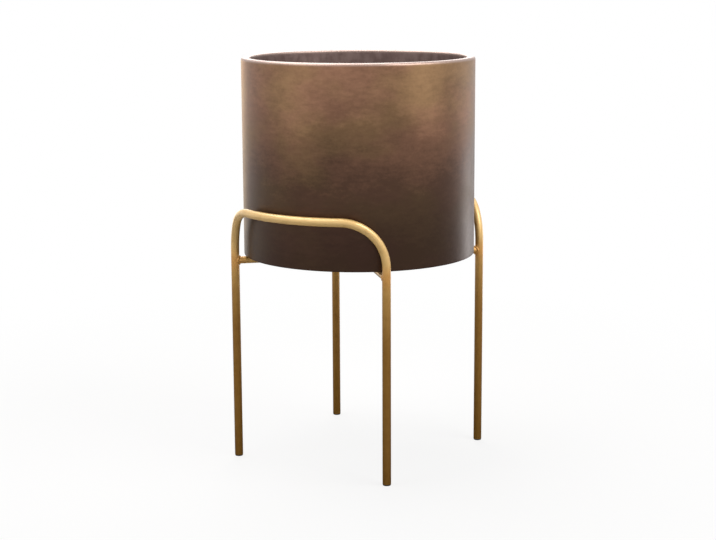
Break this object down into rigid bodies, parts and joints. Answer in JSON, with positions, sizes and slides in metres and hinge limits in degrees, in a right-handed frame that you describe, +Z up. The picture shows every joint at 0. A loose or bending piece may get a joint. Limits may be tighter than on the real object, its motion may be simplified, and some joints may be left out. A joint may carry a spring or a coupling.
{
  "type": "elevated planter",
  "caption": "Round bronze-finish metal pot with a turned-in lip, standing loose in a brass-finish tube stand of bent hoops and crossed bars; the pot lifts out.",
  "frame": {"origin": "on the floor, below the middle of the pot", "axes": "+Z up; -Y is the middle of the front hoop, +X is to the right seen from the front"},
  "size_m": [0.3555, 0.3996, 0.6175],
  "materials": {
    "stand_brass": "satin",
    "pot_bronze": "satin",
    "foot_plastic": "matte",
    "pad_rubber": "matte",
    "plug_rubber": "matte"
  },
  "bodies": {
    "stand": {"front_hoop": "stand_brass", "rear_hoop": "stand_brass", "through_bar": "stand_brass", "front_half_bar": "stand_brass", "rear_half_bar": "stand_brass", "centre_welds": "stand_brass", "weld_front_left": "stand_brass", "weld_front_right": "stand_brass", "weld_rear_left": "stand_brass", "weld_rear_right": "stand_brass", "foot_plug_front_left": "foot_plastic", "foot_plug_front_right": "foot_plastic", "foot_plug_rear_left": "foot_plastic", "foot_plug_rear_right": "foot_plastic", "rest_pad_front_left": "pad_rubber", "rest_pad_front_right": "pad_rubber", "rest_pad_rear_left": "pad_rubber", "rest_pad_rear_right": "pad_rubber"},
    "pot": {"pot_wall": "pot_bronze", "pot_floor": "pot_bronze", "floor_weld": "pot_bronze"},
    "drain_plug": {"drain_plug": "plug_rubber"}
  },
  "joints": [
    {"name": "pot_lift", "type": "slide", "parent": "stand", "child": "pot", "axis": [0, 0, 1], "range_m": [0, 0.15]},
    {"name": "drain_plug_pull", "type": "slide", "parent": "pot", "child": "drain_plug", "axis": [0, 0, 1], "range_m": [0, 0.06]}
  ]
}
